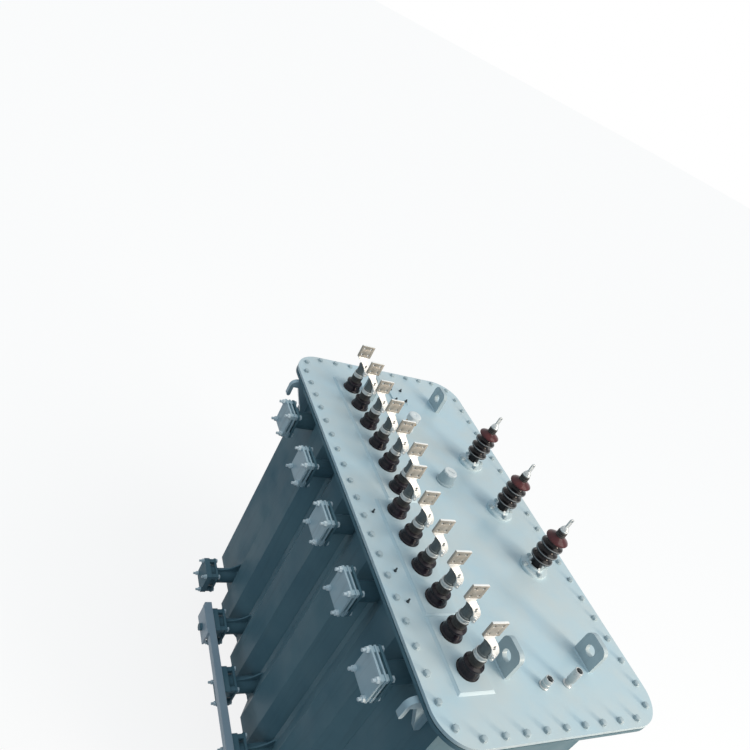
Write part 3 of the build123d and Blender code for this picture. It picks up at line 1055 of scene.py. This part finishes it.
@dataclass(frozen=True)
class HighVoltageBushings:
    """Three shedded bushings with clamped feet and flat lug terminals."""

    line: float = 410.0
    pitch: float = 447.0
    count: int = 3
    shed_low: float = 100.0
    shed_pitch: float = 54.0
    shed_count: int = 4

    def places(self) -> list[Matrix]:
        """Where each bushing stands on the cover."""
        return [at(self.line, y, COVER_TOP) for y in centred(self.count, self.pitch)]

    def lows(self) -> list[float]:
        """Level of each shed, from the lowest to the top one."""
        return [self.shed_low + self.shed_pitch * k for k in range(self.shed_count)]

    def shed(self, low: float) -> list[Spot]:
        """Profile of one shed with its drip edge, from its underside to its rim."""
        return [
            (42, low), (54, low - 3), (63, low - 5), (67.5, low - 4), (69, low), (69, low + 4),
            (67, low + 7),
        ]

    def porcelain(self) -> Piece:
        """Model the neck and the three lower sheds.

        Returns:
            The glazed body.
        """
        rings: list[Spot] = [(38, 20), (38, 92)]
        for low in self.lows()[:-1]:
            rings += self.shed(low)
            rings += [(60, low + 11), (51, low + 17), (45, low + 24), (42.5, low + 34)]
            rings.append((42, low + 45))
        return turned(rings, 56)

    def rim_highlights(self) -> Piece:
        """Model the light bands round the edges of the lower sheds, which carry a painted highlight.

        Returns:
            The bands of all lower sheds.
        """
        bands = []
        for low in self.lows()[:-1]:
            rings = ((68, low + 3), (69.4, low + 3.6), (69.2, low + 6), (66.4, low + 8.2))
            bands.append(turned(rings, 56))
        return merged(bands)

    def head(self) -> Piece:
        """Model the top shed with the cone above it.

        Returns:
            The head.
        """
        low = self.lows()[-1]
        rings = [(42, low - 12), *self.shed(low)]
        rings += [(54, low + 15), (44, low + 20), (36, low + 24), (30, low + 27), (27, low + 30)]
        return turned(rings, 56)

    def collar(self) -> Piece:
        """Model the ribbed rubber collar under the cap nut.

        Returns:
            The collar.
        """
        rings = [(26, 288)]
        for low in (290, 303, 316):
            rings += [(26.5, low), (28.5, low + 3), (28.5, low + 8), (26.5, low + 11)]
        rings.append((25, 331))
        return turned(rings, 40)

    def terminal(self) -> Piece:
        """Model the coned cap nut and the drilled flat bar on it.

        Returns:
            The nut with its bar.
        """
        rings = (
            (24, 330), (26, 332), (26, 338), (23.5, 340), (23, 347), (18, 356), (14, 362), (9, 365),
        )
        cap = turned(rings, 36)
        wrench = hexagon(42, 334, 346)
        bar = block((0, 0, 391.5), (26, 9, 65))
        round_corners(bar, 9, 5)
        bored(bar, drill(0, 409, 30, 24))
        round_edges(bar, 0.6)
        return merged([cap, wrench, bar])

    def flange(self) -> Piece:
        """Model the turned foot ring that the porcelain stands in."""
        rings = (
            (87, 0), (88, 1), (88, 15), (86.5, 18), (84, 19), (62, 20), (56, 21), (54, 24),
            (53, 34), (51, 37), (47, 38), (38, 38),
        )
        return turned(rings, 56)

    def claw(self) -> Piece:
        """Model one pressed claw that bears on the porcelain's foot.

        Returns:
            The claw at the foot's side that faces along X.
        """
        claw = block((70, 0, 24.5), (26, 18, 7))
        pick(claw, "FACE", lambda face: face.normal.x < -0.9)
        extrude(-10, 0, 10)
        extrude(-6, 0, 12)
        resize((1, 0.8, 0.8), (41, 0, 46))
        rest()
        round_edges(claw, 1.6)
        return claw

    def dog(self) -> Piece:
        """Model the square block and the nut that hold one claw."""
        square = slab((65, -13, 17), (90, 13, 29), 1.5)
        return merged([square, spread(hexagon(17, 27, 36), [at(77, 0, 0)])])

    def build(self) -> None:
        """Model one bushing and set all three."""
        places = self.places()
        turns = [math.radians(angle) for angle in (-9, 81, 171, 261)]
        feet = [place @ Matrix.Rotation(turn, 4, "Z") for place in places for turn in turns]
        porcelain = spread(self.porcelain(), places)
        # lower sheds in the near-black copy of the glaze, as painted shade
        dress("hv_porcelain", porcelain, Finish.SHED_GLAZE_PAINTED_SHADE, Slot.PORCELAIN, "hv_bushings")
        # painted highlight: light bands on the lower shed edges
        dress("hv_shed_rim_highlights", spread(self.rim_highlights(), places), Finish.RIM_HIGHLIGHT, Slot.PORCELAIN)
        dress("hv_heads", spread(self.head(), places), Finish.HEAD_GLAZE_PAINTED_LIGHT, Slot.PORCELAIN)
        dress("hv_collars", spread(self.collar(), places), Finish.RUBBER, Slot.RUBBER)
        dress("hv_lugs", spread(self.terminal(), places), Finish.ZINC, Slot.STEEL, "hv_terminals")
        dress("hv_foot_rings", spread(self.flange(), places), Finish.COVER, Slot.COVER, "hv_flanges")
        dress("hv_claws", spread(self.claw(), feet), Finish.WHITE, Slot.ZINC)
        dress("hv_dogs", spread(self.dog(), feet), Finish.BOLT, Slot.ZINC)


@dataclass(frozen=True)
class CoverFittings:
    """Vent, relief cap, nipples, pocket studs and small studs on the cover."""

    vent: Spot = (-8.0, 722.0)
    relief: Spot = (77.0, 227.0)
    pocket: Spot = (63.0, 1098.0)
    short_nipple: Spot = (-2.0, -1163.0)
    tall_nipple: Spot = (162.0, -1163.0)
    pocket_half: Spot = (44.0, 62.0)
    earth_studs: tuple[Spot, ...] = ((-593, -99), (-606, -502), (-606, -687))

    def build_vent(self) -> None:
        """Model the vent: foot, cast body, brass ring and round hood."""
        spot = [at(*self.vent, COVER_TOP)]
        foot = turned(((43, 0), (44, 1.5), (44, 10), (42, 13), (37, 14), (34, 17), (34, 20)), 40)
        rings = (
            (33, 18), (35, 20), (35, 30), (32, 33), (32, 48), (35, 51), (37, 54), (37, 59), (33, 61),
        )
        body = turned(rings, 40)
        rings = (
            (44, 84), (47, 84), (47.5, 87), (47.5, 118), (46, 124), (42, 127.5), (34, 129),
            (12, 130), (10, 129), (8, 127),
        )
        white = merged([foot, body, turned(rings)])
        dress("vent_hood_and_foot", spread(white, spot), Finish.WHITE, Slot.ZINC, "vent_cap")
        rings = (
            (38, 60), (40, 61.5), (40, 70), (38.6, 71), (38.6, 74), (40, 75), (40, 83), (36, 85),
        )
        dress("vent_ring", spread(turned(rings, 44), spot), Finish.BRASS, Slot.ZINC)

    def build_relief(self) -> None:
        """Model the relief cap: base ring, tapered body and slotted eight-sided head."""
        spot = [at(*self.relief, COVER_TOP)]
        rings = (
            (60, 0), (62, 1.5), (62, 9), (60, 11.5), (55, 12.5), (54, 15), (53.5, 20), (48, 70),
            (46.5, 75), (44, 77), (40, 77),
        )
        dress("relief_body", spread(turned(rings), spot), Finish.BOLT, Slot.TANK, "relief_cap")
        head = turned(((43.5, 75), (46, 76.5), (46, 86), (44, 88)), 8)
        slot = slab((-26, -4.5, 80.5), (26, 4.5, 99), 1)
        slot.data.transform(Matrix.Rotation(math.radians(-40), 4, "Z"))
        dress("relief_head", spread(bored(head, slot), spot), Finish.WHITE, Slot.COVER)

    def build_nipples(self) -> None:
        """Model the short plug with a hexagon socket and the tall open nipple."""
        spots = [[at(*place, COVER_TOP)] for place in (self.short_nipple, self.tall_nipple)]
        rings = (
            (18, 6), (21, 8), (22, 10), (22, 30), (20, 32), (20, 35), (22, 37), (22, 58), (21, 60),
        )
        short = bored(turned(rings, 36), hexagon(33, 40, 80))
        short = merged([short, turned(((27, 0), (27, 5), (25, 8), (20, 9)), 36)])
        tall = turned(((18, 6), (18, 28), (21, 32), (22, 34), (22, 110), (21, 112)), 36)
        bored(tall, turned(((17.5, 60), (17.5, 140)), 28))
        tall = merged([tall, turned(((26, 0), (26, 5), (24, 8), (18, 9)), 36)])
        nipples = merged([spread(short, spots[0]), spread(tall, spots[1])])
        dress("cover_nipple_fittings", nipples, Finish.ZINC, Slot.COVER, "cover_nipples")
        # black rubber discs deep in both openings, painted shade for their dark insides
        short_shade_disc = turned(((19, 37), (19, 42), (12, 44)), 24)
        tall_shade_disc = turned(((18, 58), (18, 66), (12, 68)), 24)
        shade_discs = merged([spread(short_shade_disc, spots[0]), spread(tall_shade_disc, spots[1])])
        dress("nipple_shade_discs", shade_discs, Finish.RUBBER, Slot.RUBBER)

    def build_studs(self) -> None:
        """Model the four pocket studs and the three small studs by the left bolts."""
        stud = merged([hexagon(19, 10, 20), thread(6, 19, 32, 2.0)])
        (x, y), (dx, dy) = self.pocket, self.pocket_half
        places = [at(x + i * dx, y + j * dy, COVER_TOP) for i, j in product((-1, 1), (-1, 1))]
        dress("pocket_studs", spread(stud, places), Finish.DARK, Slot.ZINC)
        small = merged([hexagon(15, 0, 7), thread(5, 6, 24, 2.0)])
        spots = [at(*place, COVER_TOP) for place in self.earth_studs]
        dress("earth_studs", spread(small, spots), Finish.DARK, Slot.ZINC)

    def build(self) -> None:
        """Model all fittings of the cover."""
        self.build_vent()
        self.build_relief()
        self.build_nipples()
        self.build_studs()


@dataclass(frozen=True)
class WeldBeads:
    """Fillet beads where flanges, pipes, lugs and pads join their plates."""

    pipe_radius: float = 57.0
    pipe_bead: float = 7.0
    wall: float = 572.0
    lug_lines: Spot = (-214.0, 374.0)
    lug_ends: Spot = (-1044.0, 1050.0)
    lug_half: float = 16.0
    lug_length: float = 146.0
    lug_bead: float = 9.0
    pad_width: float = 198.0
    slope_run: float = 14.0

    def ring(self, height: float, side: int) -> Piece:
        """Model one bead round a pipe.

        Args:
            height: Where the plate's face is along the pipe.
            side: 1 where the bead lies above the face, -1 below it.

        Returns:
            The bead about the upright axis.
        """
        radius, bead = self.pipe_radius, self.pipe_bead
        low, high = sorted((height, height + side * bead))
        foot, top = (bead, 1) if side > 0 else (1, bead)
        rings = [(radius - 1, low), (radius + foot, low)]
        rings += [(radius + bead * 0.62, height + side * bead * 0.35), (radius + top, high)]
        return turned([*rings, (radius - 1, high)], 40)

    def straight(self) -> Piece:
        """Model one rounded bead along a lug's foot, centred on the origin.

        Returns:
            The bead.
        """
        bead = self.lug_bead
        piece = block((0, 0, 0), (bead, self.lug_length, bead), (0, math.pi / 4, 0))
        pick(piece, "FACE", lambda face: abs(face.normal.y) < 0.5)
        bpy.ops.mesh.subdivide(number_cuts=9, smoothness=0.0, fractal=0.05)
        rest()
        round_edges(piece, bead * 0.3)
        return piece

    def slope(self, x: float, low: float, high: float) -> Piece:
        """Model the sloping fillet right round one bushing pad.

        Args:
            x: The pad's middle line.
            low: The pad's near end.
            high: The pad's far end.

        Returns:
            A low frustum that the pad stands in.
        """
        width = self.pad_width + 2 * self.slope_run
        length = high - low + 2 * self.slope_run
        fillet = block((x, (low + high) / 2, COVER_TOP + 4), (width, length, 12))
        pick(fillet, "FACE", lambda face: face.normal.z > 0.9)
        ratios = (self.pad_width / width, (high - low) / length, 1)
        resize(ratios, (x, (low + high) / 2, COVER_TOP + 10))
        rest()
        round_edges(fillet, 0.8)
        return fillet

    def build(self) -> None:
        """Lay all beads."""
        rows = product((-1, 1), (UPPER_AXIS, LOWER_AXIS), centred(PIPE_COUNT, PIPE_PITCH))
        places = [along_x(0, y, axis, side) for side, axis, y in rows]
        pieces = [spread(self.ring(self.wall, 1), places), spread(self.ring(FLANGE_BACK, -1), places)]
        dress("pipe_weld_beads", merged(pieces), Finish.TANK, Slot.TANK)
        lugs = product(self.lug_lines, self.lug_ends, (-self.lug_half, self.lug_half))
        feet = [at(x + dx, y, COVER_TOP + 1) for x, y, dx in lugs]
        dress("lug_weld_beads", spread(self.straight(), feet), Finish.COVER, Slot.COVER)
        # middle line, near end and far end of the three bushing pads
        pads = ((-346, 17, 1182.75), (-433, -761, -3), (-433, -1168.75, -781))
        fillets = [self.slope(*pad) for pad in pads]
        dress("pad_weld_beads", merged(fillets), Finish.COVER, Slot.COVER)


# Picture



@dataclass(frozen=True)
class Studio:
    """Camera of the photograph, soft lamps, pale floor and white background."""

    place: Point = (-2.5823, -2.3403, 4.4655)
    right: Point = (0.84426, -0.31376, 0.43448)
    down: Point = (0.17612, -0.60325, -0.77786)
    forward: Point = (0.50616, 0.73324, -0.45404)
    lens: float = 31.545
    world_light: float = 0.7
    sky: str = "#C4D8E4"
    floor_bounce: str = "#42555F"
    floor_pale: str = "#F8F9F9"
    floor_glow: float = 0.86
    sun_strength: float = 1.4
    sun_spread: float = 42.0
    sun_from: Point = (0.45, -0.42, 0.79)
    rim_power: float = 320.0
    rim_size: float = 1.6
    rim_place: Point = (3.8, -6.2, 3.4)
    rim_from: Point = (3.8, -6.0, 1.2)

    def white_when_seen(self, tree: Tree) -> Socket:
        """Factor that is one for camera, glossy and transmission rays.

        Args:
            tree: The node tree that needs it.

        Returns:
            The factor.
        """
        rays = add_node(tree, "LightPath")
        seen = rays["Is Camera Ray"]
        for ray in ("Is Glossy Ray", "Is Transmission Ray"):
            seen = add_node(tree, "Math", {"operation": "MAXIMUM", 0: seen, 1: rays[ray]})[0]
        return seen

    def build_world(self) -> None:
        """Light the scene with a plain pale sky that is seen as white."""
        world = bpy.data.worlds.new("studio_world")
        bpy.context.scene.world = world
        tree = emptied(world)
        light = {"Color": linear(self.sky), "Strength": self.world_light}
        sky = add_node(tree, "Background", light)[0]
        white = add_node(tree, "Background", {"Color": (1, 1, 1, 1), "Strength": 1.0})[0]
        mix = add_node(tree, "MixShader", {0: self.white_when_seen(tree), 1: sky, 2: white})[0]
        add_node(tree, "OutputWorld", {"Surface": mix})

    def build_floor(self) -> None:
        """Lay a pale floor that keeps the shadow and is seen nearly white."""
        rest()
        bpy.ops.mesh.primitive_plane_add(size=900, location=(0, 0, 0))
        floor = bpy.context.object
        floor.name = "studio_floor"
        material = bpy.data.materials.new("pale_studio_floor")
        tree = emptied(material)
        # light that bounces off the floor is greyer than the floor that the camera sees
        bounce = add_node(tree, "BsdfDiffuse", {"Color": linear(self.floor_bounce)})[0]
        pale = add_node(tree, "BsdfDiffuse", {"Color": linear(self.floor_pale)})[0]
        glow = add_node(tree, "Emission", {"Color": (1, 1, 1, 1), "Strength": 1.0})[0]
        shown = add_node(tree, "MixShader", {0: self.floor_glow, 1: pale, 2: glow})[0]
        mix = add_node(tree, "MixShader", {0: self.white_when_seen(tree), 1: bounce, 2: shown})[0]
        add_node(tree, "OutputMaterial", {"Surface": mix})
        floor.data.materials.append(material)

    def hang(self, data: bpy.types.Light, colour: str, place: Point, back: Point) -> None:
        """Hang one lamp.

        Args:
            data: The lamp's light.
            colour: Its sRGB hex colour.
            place: Where it hangs, in metres.
            back: The direction from what it lights back to the lamp.
        """
        data.color = linear(colour)[:3]
        lamp = bpy.data.objects.new(data.name, data)
        lamp.location = place
        lamp.rotation_euler = Vector(back).to_track_quat("Z", "Y").to_euler()
        bpy.context.scene.collection.objects.link(lamp)

    def build_camera(self) -> None:
        """Set the camera where the photograph was taken from."""
        columns = [Vector(self.right), -Vector(self.down), -Vector(self.forward)]
        matrix = Matrix([[column[i] for column in columns] for i in range(3)]).to_4x4()
        matrix.translation = Vector(self.place)
        data = bpy.data.cameras.new("photo_camera")
        data.sensor_width = 36
        data.lens = self.lens
        data.clip_end = 2000
        camera = bpy.data.objects.new("photo_camera", data)
        camera.matrix_world = matrix
        bpy.context.scene.collection.objects.link(camera)
        bpy.context.scene.camera = camera

    def build(self) -> None:
        """Set up camera, world, floor and lamps."""
        bpy.context.scene.view_settings.view_transform = "Standard"
        self.build_camera()
        self.build_world()
        self.build_floor()
        # a broad hazy sun from the near right, and a warm lamp that edges the porcelain
        key = bpy.data.lights.new("key", "SUN")
        key.energy, key.angle = self.sun_strength, math.radians(self.sun_spread)
        self.hang(key, "#FFF8EE", (0, 0, 0), self.sun_from)
        rim = bpy.data.lights.new("rim", "AREA")
        rim.energy, rim.size = self.rim_power, self.rim_size
        self.hang(rim, "#FFEAD4", self.rim_place, self.rim_from)


def main() -> None:
    """Build the visual model around the frame."""
    logging.basicConfig(level=logging.INFO, format="%(name)s %(message)s")
    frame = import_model()
    paint_nodes(frame["nodes"])
    for part in (
        CoverBolts(),
        FlangeStuds(),
        LowVoltageRow(Row.FAR, -346.0, 34.0),
        LowVoltageRow(Row.NEAR, -433.0, 44.0),
        HighVoltageBushings(),
        CoverFittings(),
        WeldBeads(),
        Studio(),
    ):
        part.build()


if __name__ == "__main__":
    main()
